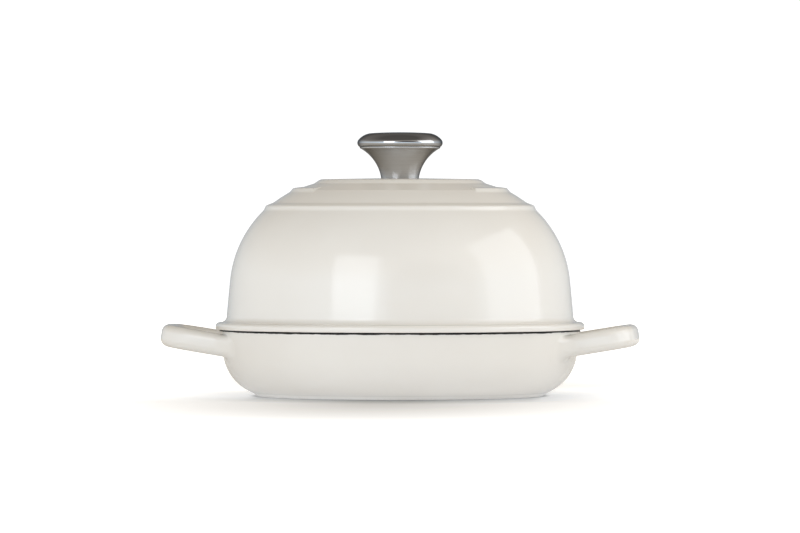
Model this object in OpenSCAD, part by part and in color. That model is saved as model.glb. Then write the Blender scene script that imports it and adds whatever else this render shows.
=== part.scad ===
// Bread cloche in enamelled cast iron: a shallow pan with two loop handles,
// and a domed lid with stepped rings and a steel knob.
// The pan stands on z = 0, centred on the Z axis, with its handles along X.

/* [Pan] */
// Outside diameter of the pan across its rim
pan_d = 255; // [225:1:285]
// Height of the pan's rim above the table
pan_h = 46.7; // [44:0.1:60]
// Wall thickness of the pan
pan_wall = 4.2; // [3.5:0.1:6]
// Thickness of the pan's floor
pan_floor = 4.2; // [3.5:0.1:6]
// Lean of the pan's wall from upright, in degrees
pan_draft = 8; // [4:0.5:11]
// Outside radius where the pan's wall turns into its floor
pan_corner_r = 33.6; // [28:0.2:36]
// Rounding of the rim's two edges
rim_edge_r = 0.8; // [0.4:0.1:1.4]

/* [Foot and floor] */
// Diameter of the foot ring where it stands on the table
foot_d = 202; // [180:1:206]
// Width of the foot ring's face on the table
foot_face_w = 9; // [6:0.5:14]
// Height of the hollow inside the foot ring
foot_h = 2; // [1.4:0.1:3]
// Lean of the foot ring's sides from upright, in degrees
foot_lean = 50; // [30:1:55]
// Number of low ridges on the pan's floor
ridge_count = 4; // [2:1:4]
// Radius of the innermost ridge
ridge_first_r = 22; // [16:1:26]
// Distance from one ridge to the next
ridge_pitch = 18; // [14:0.5:20]
// Width of a ridge
ridge_w = 4; // [3:0.5:6]
// Height of a ridge
ridge_h = 1; // [0.6:0.1:1.6]

/* [Loop handles] */
// How far a handle reaches beyond the pan's rim
handle_reach = 41.7; // [36:0.1:52]
// Width of a handle's bar, seen from above
bar_w = 12; // [10:0.5:14]
// Height of a handle's bar
bar_h = 15.4; // [13:0.1:17]
// Rounding of the bar's edges
bar_edge_r = 5.4; // [3:0.1:5.6]
// Slope of the handles, rising from the pan, in degrees
handle_rise = 9.3; // [4:0.1:12]
// Drop from the rim to the top of the bar, at the pan's wall
handle_drop = 1.8; // [0.8:0.1:4]
// Bow radius of the grip's outer edge
bow_r = 136; // [90:1:200]
// Half of the angle over which the grip's outer edge is bowed, in degrees
bow_half_angle = 10; // [6:0.5:13]
// Outside radius of the loop's corners
loop_corner_r = 25; // [20:0.5:28]
// Splay of the loop's sides towards the pan, in degrees
loop_splay = 6; // [0:0.5:12]
// Rounding between the loop's sides and the pan, outside the loop
root_outer_r = 12; // [6:0.5:14]
// Rounding between the loop's sides and the pan, inside the loop
root_inner_r = 11; // [6:0.5:12]
// Rounding between the underside of the loop and the pan
root_under_r = 5; // [3:0.5:6]

/* [Lid] */
// Height of the lid's straight wall above its seat
lid_wall_h = 34.3; // [24:0.1:50]
// Wall thickness of the lid
lid_wall = 3.6; // [3.2:0.1:5]
// Lean of the lid's wall from upright, in degrees
lid_draft = 5.4; // [3:0.1:8]
// Radius of the dome between the wall and the rings
dome_r = 80; // [60:1:90]
// Slope angle at which the dome meets the first ring, in degrees
dome_end = 45.9; // [39:0.1:50]
// Thickness of the lid's top, measured upright
lid_top_t = 4.4; // [3.8:0.1:6]
// How far the flange stands out over the pan's rim
flange_over = 2.8; // [1:0.1:5]
// Thickness of the flange
flange_t = 4.8; // [4:0.1:6]
// Rounding of the flange's upper edge
flange_edge_r = 2.6; // [1.5:0.1:3]
// Rounding between the flange and the lid's wall
flange_root_r = 3.4; // [2:0.1:5]

/* [Lid rings] */
// Height of the step at the foot of the outer ring
step_h = 3.1; // [3:0.1:4.6]
// Width of the outer ring's top
outer_ring_w = 5.4; // [4.6:0.1:7]
// Width of the sloping band inside the outer ring
band_w = 14; // [11:0.2:18]
// Slope of that band at its foot, in degrees
band_slope = 34.4; // [30:0.2:36]
// Width of the gentle slope round the centre disc
apron_w = 14.9; // [12:0.1:18]
// Slope round the centre disc, in degrees
apron_slope = 17.6; // [12:0.2:20]
// Height of the centre disc above that slope
disc_h = 3; // [2:0.1:4]
// Height of the middle ring at its outer edge
middle_ring_h = 1.5; // [1:0.1:2]
// Width of the middle ring's top
middle_ring_w = 6.6; // [5:0.1:8]
// Angle of the gap at the front of the middle ring, in degrees
middle_ring_gap = 95; // [30:1:120]

/* [Knob] */
// Largest diameter of the knob
knob_d = 60.3; // [54:0.1:66]
// Diameter of the knob's neck on the lid
neck_d = 26.6; // [24:0.1:30]
// Height of the knob's stem
stem_h = 22.2; // [20:0.1:23.5]
// Radius of the stem's flare
flare_r = 29; // [27:0.5:32]
// Slope of the stem's side at the neck, in degrees
neck_slope = 8.7; // [5:0.1:12]
// Wall thickness of the knob's stem
stem_wall = 1.6; // [1.2:0.1:2]
// Thickness of the stem's floor, on the lid
stem_floor = 3.5; // [2.5:0.1:4.5]
// Radius of the cap's outer edge
cap_edge_r = 3.6; // [3:0.1:4.2]
// Radius of the cap's shoulder
cap_shoulder_r = 13; // [11:0.5:15]
// Sheet thickness of the cap
cap_wall = 1.4; // [1:0.1:1.8]
// How far the cap stands out over the stem
cap_over = 1.3; // [0.8:0.1:2]

/* [Knob fixing] */
// Diameter of the screw that holds the knob
screw_d = 6; // [5:0.5:8]
// Diameter of the screw's head
screw_head_d = 12; // [10:0.5:14]
// Height of the screw's head
screw_head_h = 3.8; // [3:0.1:5]
// Length of thread held in the knob
thread_grip = 9; // [7:0.5:10]
// Diameter of the washer
washer_d = 20; // [17:0.5:26]
// Thickness of the washer
washer_t = 1.6; // [1:0.1:2.5]
// Diameter of the threaded bush
bush_d = 14; // [12:0.5:16]
// Height of the threaded bush
bush_h = 11; // [10:0.5:12]

/* [Fits] */
// Gap between the lid's flange and the pan's rim, where the lid rests
seat_gap = 0.3; // [0.2:0.05:0.5]
// Clearance round the lid's lip, inside the pan's rim
lip_gap = 1; // [0.6:0.1:1.6]
// Depth of the lid's lip below its seat
lip_depth = 4; // [2.5:0.1:6]
// Clearance round the screw in the lid, the stem and the washer
screw_gap = 0.3; // [0.2:0.05:0.5]
// Clearance between the screw and the threaded bush
thread_gap = 0.05; // [0.02:0.01:0.1]

/* [Hidden] */
$fn = 144;
enamel = [0.87, 0.86, 0.82];
satin_steel = [0.62, 0.61, 0.60];
polished_steel = [0.78, 0.78, 0.79];
facet_dev = 0.02;

// Pan: the outer wall is tangent to a corner arc that would touch the table.
rim_r = pan_d / 2;
floor_z = foot_h + pan_floor;
inner_corner_r = pan_corner_r - floor_z;
outer_corner_x = corner_x(pan_corner_r);
inner_corner_x = corner_x(inner_corner_r + pan_wall);
rim_inner_r = rim_r - pan_wall / cos(pan_draft);

// Handles: the loop lies in a plane that rises from the rim.
bar_z = pan_h - handle_drop - bar_h / 2 / cos(handle_rise);
bar_lead = (bar_w / 2 - bar_edge_r) * cos(handle_rise)
         + (bar_h / 2 - bar_edge_r) * sin(handle_rise) + bar_edge_r;
tip_u = (handle_reach - bar_lead) / cos(handle_rise);
bow_line_r = bow_r - bar_w / 2;
corner_line_r = loop_corner_r - bar_w / 2;
side_normal = 90 - loop_splay;
bow_centre = [tip_u - bow_line_r, 0];
bow_end = bow_centre + bow_line_r * unit(bow_half_angle);
corner_centre = bow_end - corner_line_r * unit(bow_half_angle);
corner_end = corner_centre + corner_line_r * unit(side_normal);
root_bite = 1;
root_wall_r = rim_r - (pan_h - bar_z) * tan(pan_draft) - root_bite;
root_lead = 3;
root_overrun = 10;
bow_steps = 2;
corner_steps = 9;
root_steps = 7;
edge_steps = 5;
half_loop = loop_half();
loop_stations = concat(
    [for (i = [len(half_loop) - 1 : -1 : 1]) mirrored(half_loop[i])],
    half_loop);

// Lid: the wall rises from the pan's inner rim and turns into the dome.
seat_z = pan_h + seat_gap;
flange_r = rim_r + flange_over;
lip_r = rim_inner_r - lip_gap;
dome_start_z = seat_z + lid_wall_h;
dome_centre = [lid_wall_r(dome_start_z) - dome_r * cos(lid_draft),
               dome_start_z - dome_r * sin(lid_draft)];
flange_top_rise = 0.6;
step_lean = 21;
outer_ring_slope = 21;
band_flattening = 4.4;
disc_flank = 35.5;
disc_crown = 0.65;
knob_seat_w = 3;
under_disc_in = 4;
under_band_in = 1.5;

// Roundings of the lid's outline, from the lip up, and the arc angles that they take up.
lip_edge_r = 0.8;
seat_root_r = 0.5;
seat_edge_r = 1;
step_foot_r = 6;
step_top_r = 2.8;
band_foot_r = 1.2;
band_crown_r = 110;
slope_edge_r = 2;
disc_edge_r = 7;
under_disc_r = 8;
under_band_r = 10;
step_foot_turn = 3;
under_band_turn = 6;

// Lid: corners of the outline from the first step to the centre.
step_foot = dome_centre + dome_r * unit(dome_end);
step_top = step_foot + step_h * [-tan(step_lean), 1];
band_foot = inward(step_top, outer_ring_w, outer_ring_slope);
band_middle = inward(band_foot, band_w / 2, band_slope);
band_top = inward(band_middle, band_w / 2, band_slope - band_flattening);
disc_foot = inward(band_top, apron_w, apron_slope);
disc_edge = disc_foot + disc_h * [-1 / tan(disc_flank), 1];
lid_top_z = disc_edge[1] + disc_crown;
lid_under_z = disc_edge[1] - lid_top_t;
ring_flank = 50;
ring_top_slope = 7;
ring_edge_r = 1.4;
ring_sunk = 2;

// Knob: everything stands on the lid's top, on the Z axis.
knob_r = knob_d / 2;
neck_r = neck_d / 2;
parting_in = 0.4;
stem_top_r = knob_r - cap_over - parting_in;
stem_top_z = lid_top_z + stem_h;
flare_centre = [neck_r + flare_r * cos(neck_slope), lid_top_z - flare_r * sin(neck_slope)];
stem_floor_z = lid_top_z + stem_floor;
cap_lap = 2.6;
cap_start = -50;
cap_turn = 40;
cap_end = 86;
edge_centre = [knob_r - cap_edge_r, stem_top_z - cap_edge_r * sin(cap_start)];
shoulder_centre = edge_centre - (cap_shoulder_r - cap_edge_r) * unit(cap_turn);
crown_r = (shoulder_centre[0] + cap_shoulder_r * cos(cap_end)) / cos(cap_end);
crown_centre = [0, shoulder_centre[1] + (cap_shoulder_r - crown_r) * sin(cap_end)];
washer_z = lid_under_z - washer_t;
screw_r = screw_d / 2;
screw_hole_r = screw_r + screw_gap;
screw_top_z = stem_floor_z + thread_grip;

// Unit vector at an angle.
function unit(a) = [cos(a), sin(a)];

// Point reached from p by going inward by w up a slope.
function inward(p, w, slope) = p + w * [-1, tan(slope)];

// Points of an arc from angle a0 to angle a1, no further than facet_dev from the true arc.
function arc(centre, r, a0, a1) =
    let (steps = max(1, ceil(abs(a1 - a0) / (2 * acos(1 - facet_dev / r)))))
    [for (i = [0 : steps]) centre + r * unit(a0 + (a1 - a0) * i / steps)];

// Points with a third value of zero, which keeps them sharp in rounded().
function sharp(points) = [for (p = points) [p[0], p[1], 0]];

// Arc that rounds the corner at b, between its neighbours a and c.
function corner_arc(a, b, c, r) =
    let (u = (a - b) / norm(a - b), v = (c - b) / norm(c - b))
    let (half = acos(u * v) / 2)
    let (centre = b + r / sin(half) * (u + v) / norm(u + v))
    let (p = b + r / tan(half) * u - centre, q = b + r / tan(half) * v - centre)
    let (a0 = atan2(p[1], p[0]), turn = (atan2(q[1], q[0]) - a0 + 540) % 360 - 180)
    arc(centre, r, a0, a0 + turn);

// Closed outline from corners of the form [x, y, rounding].
function rounded(corners) =
    let (n = len(corners), xy = [for (c = corners) [c[0], c[1]]])
    [for (i = [0 : n - 1])
        let (r = corners[i][2])
        each r == 0 ? [xy[i]] : corner_arc(xy[(i + n - 1) % n], xy[i], xy[(i + 1) % n], r)];

// X of the centre of an arc of radius r, tangent to the pan's outer wall.
function corner_x(r) =
    rim_r - (r + (pan_h - pan_corner_r) * sin(pan_draft)) / cos(pan_draft);

// Radius of the lid's outer wall at height z.
function lid_wall_r(z) = rim_inner_r - (z - seat_z) * tan(lid_draft);

// Distance along the line from p in direction d to the circle of radius r round the pan's axis.
function along_to_circle(p, d, r) = -(p * d) - sqrt((p * d) * (p * d) - p * p + r * r);

// Growth of a rounding of radius r, at distance d from the wall that it meets.
function rounding(d, r) = d >= r ? 0 : r - sqrt(r * r - (r - max(d, 0)) * (r - max(d, 0)));

// Distance of a point of the handle's plane from the pan's wall.
function wall_distance(p) = norm(p + [rim_r, 0]) - root_wall_r;

// Stations of half a loop, from its middle to its root: each is a point and its outward angle.
function loop_half() =
    let (heading = unit(side_normal + 90))
    let (to_wall = along_to_circle(corner_end + [rim_r, 0], heading, root_wall_r))
    let (to_root = to_wall - root_outer_r - root_lead)
    concat(
        [for (i = [0 : bow_steps]) station(bow_centre, bow_line_r, bow_half_angle * i / bow_steps)],
        [for (i = [1 : corner_steps])
            station(corner_centre, corner_line_r,
                    bow_half_angle + (side_normal - bow_half_angle) * i / corner_steps)],
        [for (s = concat([to_root],
                         [for (i = [1 : root_steps])
                             to_root + (to_wall - to_root) * sin(90 * i / root_steps)],
                         [to_wall + root_overrun]))
            [corner_end + s * heading, side_normal]]);

// Station on an arc, at an outward angle.
function station(centre, r, a) = [centre + r * unit(a), a];

// The same station on the other side of the handle.
function mirrored(s) = [[s[0][0], -s[0][1]], -s[1]];

// Ring of points round the bar at a station, wider and deeper where the bar meets the pan.
function bar_ring(s) =
    let (p = s[0], n = unit(s[1]), to_side = n * bar_w / 2)
    let (grow_out = rounding(wall_distance(p + to_side), root_outer_r))
    let (grow_in = rounding(wall_distance(p - to_side), root_inner_r))
    let (grow_under = rounding(wall_distance(p), root_under_r))
    let (x = bar_w / 2 - bar_edge_r, z = bar_h / 2 - bar_edge_r)
    [for (quarter = [0 : 3], i = [0 : edge_steps])
        let (d = unit(90 * (quarter + i / edge_steps)))
        let (outside = quarter == 0 || quarter == 3, above = quarter < 2)
        let (across = (outside ? x : -x) + d[0] * (bar_edge_r + (outside ? grow_out : grow_in)))
        let (up = (above ? z : -z) + d[1] * (bar_edge_r + (above ? 0 : grow_under)))
        let (q = p + n * across)
        [q[0], q[1], up]];

module pan_body() {
    rotate_extrude()
        polygon(rounded(concat(
            [[0, foot_h, 0]],
            sharp(arc([outer_corner_x, pan_corner_r], pan_corner_r,
                      asin(foot_h / pan_corner_r - 1), -pan_draft)),
            [[rim_r, pan_h, rim_edge_r], [0, pan_h, 0]])));
}

module pan_hollow() {
    over = 20;
    rotate_extrude()
        polygon(rounded(concat(
            [[0, floor_z, 0]],
            sharp(arc([inner_corner_x, pan_corner_r], inner_corner_r, -90, -pan_draft)),
            [[rim_inner_r, pan_h, rim_edge_r], [rim_inner_r + over, pan_h, 0],
             [rim_inner_r + over, pan_h + over, 0], [0, pan_h + over, 0]])));
}

module foot_ring() {
    sunk = foot_h + pan_floor / 2;
    outer_r = foot_d / 2;
    inner_r = outer_r - foot_face_w;
    rotate_extrude()
        polygon([
            [inner_r, 0],
            [outer_r, 0],
            [outer_r + sunk * tan(foot_lean), sunk],
            [inner_r - sunk * tan(foot_lean), sunk]]);
}

module floor_ridges() {
    sunk = pan_floor / 4;
    for (i = [0 : ridge_count - 1])
        let (r = ridge_first_r + i * ridge_pitch)
        rotate_extrude()
            polygon(rounded([
                [r - ridge_w / 2, floor_z - sunk, 0],
                [r + ridge_w / 2, floor_z - sunk, 0],
                [r + ridge_w / 2, floor_z, 0],
                [r + ridge_w / 4, floor_z + ridge_h, ridge_h],
                [r - ridge_w / 4, floor_z + ridge_h, ridge_h],
                [r - ridge_w / 2, floor_z, 0]]));
}

// Loop handle, swept along its own plane from one root to the other.
module loop_handle() {
    rings = [for (s = loop_stations) bar_ring(s)];
    side = len(rings[0]);
    count = len(rings);
    translate([rim_r, 0, bar_z])
        rotate([0, -handle_rise, 0])
            polyhedron(
                points = [for (ring = rings) each ring],
                faces = concat(
                    [[for (j = [side - 1 : -1 : 0]) j]],
                    [for (i = [0 : count - 2], j = [0 : side - 1])
                        let (k = (j + 1) % side)
                        [i * side + j, i * side + k, (i + 1) * side + k, (i + 1) * side + j]],
                    [[for (j = [0 : side - 1]) (count - 1) * side + j]]));
}

module base_pan() {
    color(enamel) {
        difference() {
            union() {
                pan_body();
                foot_ring();
                loop_handle();
                mirror([1, 0, 0]) loop_handle();
            }
            pan_hollow();
        }
        floor_ridges();
    }
}

// Outline of half of the lid's section, with its screw hole on the left.
module lid_outline() {
    inner_wall = lid_wall / cos(lid_draft);
    lip_z = seat_z - lip_depth;
    flange_top_z = seat_z + flange_t;
    flange_foot_z = flange_top_z + flange_top_rise;
    polygon(rounded(concat(
        [[lid_wall_r(lip_z) - inner_wall, lip_z, lip_edge_r],
         [lip_r, lip_z, lip_edge_r],
         [lip_r, seat_z, seat_root_r],
         [flange_r, seat_z, seat_edge_r],
         [flange_r, flange_top_z, flange_edge_r],
         [lid_wall_r(flange_foot_z), flange_foot_z, flange_root_r]],
        sharp(arc(dome_centre, dome_r, lid_draft, dome_end - step_foot_turn)),
        [[step_foot[0], step_foot[1], step_foot_r],
         [step_top[0], step_top[1], step_top_r],
         [band_foot[0], band_foot[1], band_foot_r],
         [band_middle[0], band_middle[1], band_crown_r],
         [band_top[0], band_top[1], slope_edge_r],
         [disc_foot[0], disc_foot[1], slope_edge_r],
         [disc_edge[0], disc_edge[1], disc_edge_r],
         [neck_r + knob_seat_w, lid_top_z, 0],
         [screw_hole_r, lid_top_z, 0],
         [screw_hole_r, lid_under_z, 0],
         [disc_edge[0] - under_disc_in, lid_under_z, under_disc_r],
         [band_top[0] - under_band_in, band_top[1] - lid_top_t, under_band_r]],
        sharp(arc(dome_centre, dome_r - lid_wall, dome_end + under_band_turn, lid_draft)))));
}

// Middle ring: a flat-topped rise on the slope, open over the gap at the front.
module middle_ring() {
    outer_r = band_top[0];
    inner_r = outer_r - middle_ring_w;
    top_z = band_top[1] + middle_ring_h;
    inner_z = top_z + middle_ring_w * tan(ring_top_slope);
    foot_z = band_top[1] - ring_sunk;
    foot_r = outer_r + (top_z - foot_z) / tan(ring_flank);
    difference() {
        rotate_extrude()
            polygon(rounded([
                [inner_r, inner_z, 0],
                [inner_r, inner_z - 2 * ring_sunk, 0],
                [foot_r, foot_z - ring_sunk, 0],
                [foot_r, foot_z, 0],
                [outer_r, top_z, ring_edge_r]]));
        gap_wedge();
    }
}

// Wedge over the front of the lid, with sides that lean outward as they rise.
module gap_wedge() {
    size = 4 * band_top[0];
    intersection_for (side = [-1, 1])
        translate([0, 0, band_top[1]])
            rotate([0, 0, -90 + side * middle_ring_gap / 2])
                rotate([side * (90 - ring_flank), 0, 0])
                    translate([0, side > 0 ? -size : 0, -size / 2])
                        cube([size, size, size]);
}

module lid_shell() {
    color(enamel) {
        rotate_extrude() lid_outline();
        middle_ring();
    }
}

module knob_stem() {
    base_angle = asin((stem_floor_z - flare_centre[1]) / (flare_r + stem_wall));
    top_angle = asin((stem_top_z - flare_centre[1]) / (flare_r + stem_wall));
    side_angle = acos((flare_centre[0] - stem_top_r) / flare_r);
    color(satin_steel)
        rotate_extrude()
            polygon(concat(
                [[screw_hole_r, lid_top_z]],
                arc(flare_centre, flare_r, 180 - neck_slope, 180 - side_angle),
                [[stem_top_r, stem_top_z]],
                arc(flare_centre, flare_r + stem_wall, 180 - top_angle, 180 - base_angle),
                [[screw_hole_r, stem_floor_z]]));
}

module knob_cap() {
    lap_r = stem_top_r - cap_lap;
    color(polished_steel)
        rotate_extrude()
            polygon(concat(
                [[lap_r, stem_top_z]],
                arc(edge_centre, cap_edge_r, cap_start, cap_turn),
                arc(shoulder_centre, cap_shoulder_r, cap_turn, cap_end),
                arc(crown_centre, crown_r, cap_end, 90),
                arc(crown_centre, crown_r - cap_wall, 90, cap_end),
                arc(shoulder_centre, cap_shoulder_r - cap_wall, cap_end, cap_turn),
                arc(edge_centre, cap_edge_r - cap_wall, cap_turn, 0)));
}

// Threaded bush inside the stem, drawn with a plain bore.
module knob_insert() {
    flange_w = 2.5;
    flange_h = 2;
    color(satin_steel)
        translate([0, 0, stem_floor_z])
            difference() {
                union() {
                    cylinder(d = bush_d, h = bush_h);
                    cylinder(d = bush_d + 2 * flange_w, h = flange_h);
                }
                translate([0, 0, -1]) cylinder(r = screw_r + thread_gap, h = bush_h + 2);
            }
}

module lid_screw() {
    slot_w = 1.6;
    slot_depth = 1.8;
    slot_half = screw_head_d * 0.275;
    point = 0.8;
    head_r = screw_head_d / 2;
    head_round_r = screw_head_h * 0.6;
    head_z = washer_z - screw_head_h;
    color(satin_steel)
        difference() {
            rotate_extrude()
                polygon(rounded([
                    [0, head_z, 0],
                    [head_r, head_z, head_round_r],
                    [head_r, washer_z, 0],
                    [screw_r, washer_z, 0],
                    [screw_r, screw_top_z - point, 0],
                    [screw_r - point, screw_top_z, 0],
                    [0, screw_top_z, 0]]));
            for (a = [0, 90])
                rotate([0, 0, a])
                    translate([-slot_half, -slot_w / 2, head_z - slot_depth])
                        cube([2 * slot_half, slot_w, 2 * slot_depth]);
        }
}

module screw_washer() {
    color(satin_steel)
        translate([0, 0, washer_z])
            difference() {
                cylinder(d = washer_d, h = washer_t);
                translate([0, 0, -1]) cylinder(r = screw_hole_r, h = washer_t + 2);
            }
}

base_pan();
lid_shell();
knob_stem();
knob_cap();
knob_insert();
lid_screw();
screw_washer();
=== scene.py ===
# Bread cloche in enamelled cast iron: its castings, its steel knob and a white studio.
import math

import bmesh
import bpy
import numpy as np
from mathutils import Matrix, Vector


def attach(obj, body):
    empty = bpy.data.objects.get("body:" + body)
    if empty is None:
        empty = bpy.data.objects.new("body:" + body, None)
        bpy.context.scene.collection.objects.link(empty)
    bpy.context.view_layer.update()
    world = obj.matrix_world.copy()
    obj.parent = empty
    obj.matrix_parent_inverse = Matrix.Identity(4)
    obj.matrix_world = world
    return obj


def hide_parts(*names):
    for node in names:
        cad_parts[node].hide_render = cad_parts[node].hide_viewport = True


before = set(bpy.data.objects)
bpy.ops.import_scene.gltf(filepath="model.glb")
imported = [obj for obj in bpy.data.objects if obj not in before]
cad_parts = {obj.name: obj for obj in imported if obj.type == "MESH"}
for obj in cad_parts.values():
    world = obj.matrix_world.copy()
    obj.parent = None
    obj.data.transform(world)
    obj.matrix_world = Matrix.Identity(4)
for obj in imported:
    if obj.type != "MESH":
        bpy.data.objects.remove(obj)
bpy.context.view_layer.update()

# Lengths of the object are in millimetres, which MM turns to metres. Angles are in degrees.
MM = 0.001

# Pan
PAN_R = 127.5
PAN_H = 46.7
PAN_WALL = 4.2
PAN_FLOOR = 4.2
PAN_DRAFT = 8
PAN_CORNER_R = 33.6
RIM_EDGE_R = 0.8
FOOT_R = 101
FOOT_FACE_W = 9
FOOT_H = 2
FOOT_LEAN = 50
FOOT_EDGE_R = 0.6
FOOT_JOIN_R = 0.8
FOOT_INNER_JOIN_R = 1
RIDGE_COUNT = 4
RIDGE_FIRST_R = 22
RIDGE_PITCH = 18
RIDGE_W = 4
RIDGE_H = 1
RIDGE_EDGE_R = 0.8
RIDGE_JOIN_R = 1

# Loop handles
HANDLE_REACH = 41.62
BAR_W = 12
BAR_H = 15.4
BAR_EDGE_R = 5.4
HANDLE_RISE = 9.3
HANDLE_DROP = 1.8
BOW_R = 136
BOW_HALF_ANGLE = 10
LOOP_CORNER_R = 25
LOOP_SPLAY = 6
ROOT_OUTER_R = 12
ROOT_INNER_R = 11
ROOT_UNDER_R = 4.4
ROOT_TOP_R = 0.8

# Lid
SEAT_Z = 47.0
LID_WALL_H = 34.3
LID_WALL = 3.6
LID_DRAFT = 5.4
DOME_R = 80
DOME_END = 45.9
LID_TOP_T = 4.4
FLANGE_R = 130.25
FLANGE_T = 4.8
FLANGE_EDGE_R = 2.6
FLANGE_ROOT_R = 4.6
FLANGE_TOP_RISE = 0.6
LIP_GAP = 1
LIP_DEPTH = 4
LIP_EDGE_R = 0.8
SEAT_ROOT_R = 0.5
SEAT_EDGE_R = 1

# Lid rings
STEP_H = 3.1
STEP_LEAN = 21
OUTER_RING_W = 5.4
OUTER_RING_SLOPE = 21
BAND_W = 14
BAND_SLOPE = 34.4
BAND_FLATTENING = 4.4
APRON_W = 14.9
APRON_SLOPE = 17.6
DISC_H = 3
DISC_FLANK = 35.5
DISC_CROWN = 0.65
MIDDLE_RING_H = 1.5
MIDDLE_RING_W = 6.6
MIDDLE_RING_SLOPE = 7
MIDDLE_RING_FLANK = 50
MIDDLE_RING_INNER_FLANK = 60
MIDDLE_RING_GAP = 95
STEP_FOOT_R = 6
STEP_TOP_R = 2.8
BAND_FOOT_R = 1.2
BAND_CROWN_R = 110
SLOPE_EDGE_R = 2
DISC_EDGE_R = 7
DISC_TOP_R = 2
UNDER_DISC_R = 8
UNDER_BAND_R = 10
# Angles by which the dome's arc ends before the step's foot outside, and starts past it inside
STEP_FOOT_TURN = 3
UNDER_BAND_TURN = 6
# How much wider the knob's seat is than its neck, and how far in the corners underneath lie
KNOB_SEAT_W = 3
UNDER_DISC_IN = 4
UNDER_BAND_IN = 1.5

# Knob
KNOB_R = 30.15
NECK_R = 13.3
STEM_H = 22.2
FLARE_R = 29
NECK_SLOPE = 8.7
STEM_WALL = 1.6
STEM_FLOOR = 3.5
CAP_EDGE_R = 3.6
CAP_SHOULDER_R = 13
CAP_WALL = 1.4
CAP_OVER = 1.3
PARTING_IN = 0.4
CAP_LAP = 2.6
CAP_START, CAP_TURN, CAP_END = -50, 40, 86
SCREW_HOLE_R = 3.3
SCREW_HOLE_EDGE_R = 0.3
STEM_EDGE_R = 0.2
NECK_EDGE_R = 0.25
# Angle by which the flare's arc starts above the foot of the neck
NECK_SHORT = 1

# Mesh: how far a chord may be from its arc, the longest edges, how far a guard point is from the
# end of its stretch, and the distance for merging points
FINE = 0.003
COARSE = 0.01
PAN_STEP = 2.4
LID_STEP = 2.5
KNOB_STEP = 2
RING_STEP = 0.4
END_GUARD = 0.35
MERGE_DISTANCE = 0.002

# The attribute coat: how far a point is past the line where white enamel turns black, up to a
# limit. The line is this far before the pan's rim, and this far from the edge of the lid's flange,
# on its underside.
COAT_LIMIT = 3
PAN_COAT_LINE = 0.2
LID_COAT_LINE = 0.8


def tan(angle):
    return math.tan(math.radians(angle))


def cos(angle):
    return math.cos(math.radians(angle))


def sin(angle):
    return math.sin(math.radians(angle))


def unit(angle):
    """Unit vector at an angle."""
    return np.array([cos(angle), sin(angle)])


def arc(centre, radius, start, end, off=FINE):
    """Points of an arc whose chords are at most off from it."""
    step = math.degrees(2 * math.acos(1 - off / radius))
    count = max(1, math.ceil(abs(end - start) / step))
    return [np.array(centre) + radius * unit(a) for a in np.linspace(start, end, count + 1)]


def corner_arc(before, corner, after, radius):
    """Arc that rounds a corner between its two neighbours."""
    u = (before - corner) / np.linalg.norm(before - corner)
    v = (after - corner) / np.linalg.norm(after - corner)
    half = math.acos(np.clip(u @ v, -1, 1)) / 2
    centre = corner + radius / math.sin(half) * (u + v) / np.linalg.norm(u + v)
    p, q = (corner + radius / math.tan(half) * w - centre for w in (u, v))
    start = math.degrees(math.atan2(p[1], p[0]))
    turn = (math.degrees(math.atan2(q[1], q[0])) - start + 540) % 360 - 180
    return arc(centre, radius, start, start + turn)


def rounded(corners, closed):
    """Outline from corners (x, y) or (x, y, rounding)."""
    places = [np.array(c[:2], float) for c in corners]
    points = []
    for i, corner in enumerate(corners):
        if len(corner) < 3 or not closed and i in (0, len(corners) - 1):
            points.append(places[i])
        else:
            after = places[(i + 1) % len(places)]
            points += corner_arc(places[i - 1], places[i], after, corner[2])
    return points


def dense(points, longest, closed):
    """The outline with its long stretches divided, and a guard point near each of their ends."""
    result = []
    for i, p in enumerate(points):
        result.append(p)
        if i == len(points) - 1 and not closed:
            break
        q = points[(i + 1) % len(points)]
        length = np.linalg.norm(q - p)
        if length > 4 * END_GUARD:
            guard = END_GUARD / length
            inner = np.linspace(guard, 1 - guard, max(2, math.ceil(length / longest) + 1))
            result += [p + (q - p) * t for t in inner]
    return np.array(result)


def run_lengths(points):
    """Length along an outline up to each of its points."""
    return np.concatenate([[0], np.cumsum(np.linalg.norm(np.diff(points, axis=0), axis=1))])


def make_mesh(name, points, faces, body, values=None):
    """Smooth piece from points in millimetres, with a value for each in the attribute coat."""
    mesh = bpy.data.meshes.new(name)
    mesh.from_pydata((np.array(points) * MM).tolist(), [], faces)
    if values is not None:
        coat = mesh.attributes.new("coat", "FLOAT", "POINT")
        coat.data.foreach_set("value", np.array(values, np.float32))
    work = bmesh.new()
    work.from_mesh(mesh)
    bmesh.ops.remove_doubles(work, verts=work.verts, dist=MERGE_DISTANCE * MM)
    bmesh.ops.recalc_face_normals(work, faces=work.faces)
    work.to_mesh(mesh)
    work.free()
    mesh.shade_smooth()
    piece = bpy.data.objects.new(name, mesh)
    bpy.context.scene.collection.objects.link(piece)
    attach(piece, body)
    return piece


def turned(outline, angles, closed, lifted=None, skip=()):
    """Points and faces of an outline turned about the Z axis.
    lifted gives some rows a height at each angle. skip holds the (row, column) cells left open."""
    angles = np.radians(angles)
    rows, columns = len(outline), len(angles)
    points = []
    for row, (x, z) in enumerate(outline):
        heights = np.full(columns, z)
        if lifted is not None and row in lifted:
            heights = lifted[row]
        points += [(x * math.cos(a), x * math.sin(a), h) for a, h in zip(angles, heights)]
    faces = []
    for i in range(rows if closed else rows - 1):
        below, above = i * columns, (i + 1) % rows * columns
        for j in range(columns):
            k = (j + 1) % columns
            if (i, j) in skip:
                continue
            corners = [below + j, below + k, above + k, above + j]
            if outline[i][0] == 0:
                corners = [below, above + k, above + j]
            elif outline[(i + 1) % rows][0] == 0:
                corners = [below + j, below + k, above]
            faces.append(corners)
    return points, faces


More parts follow.
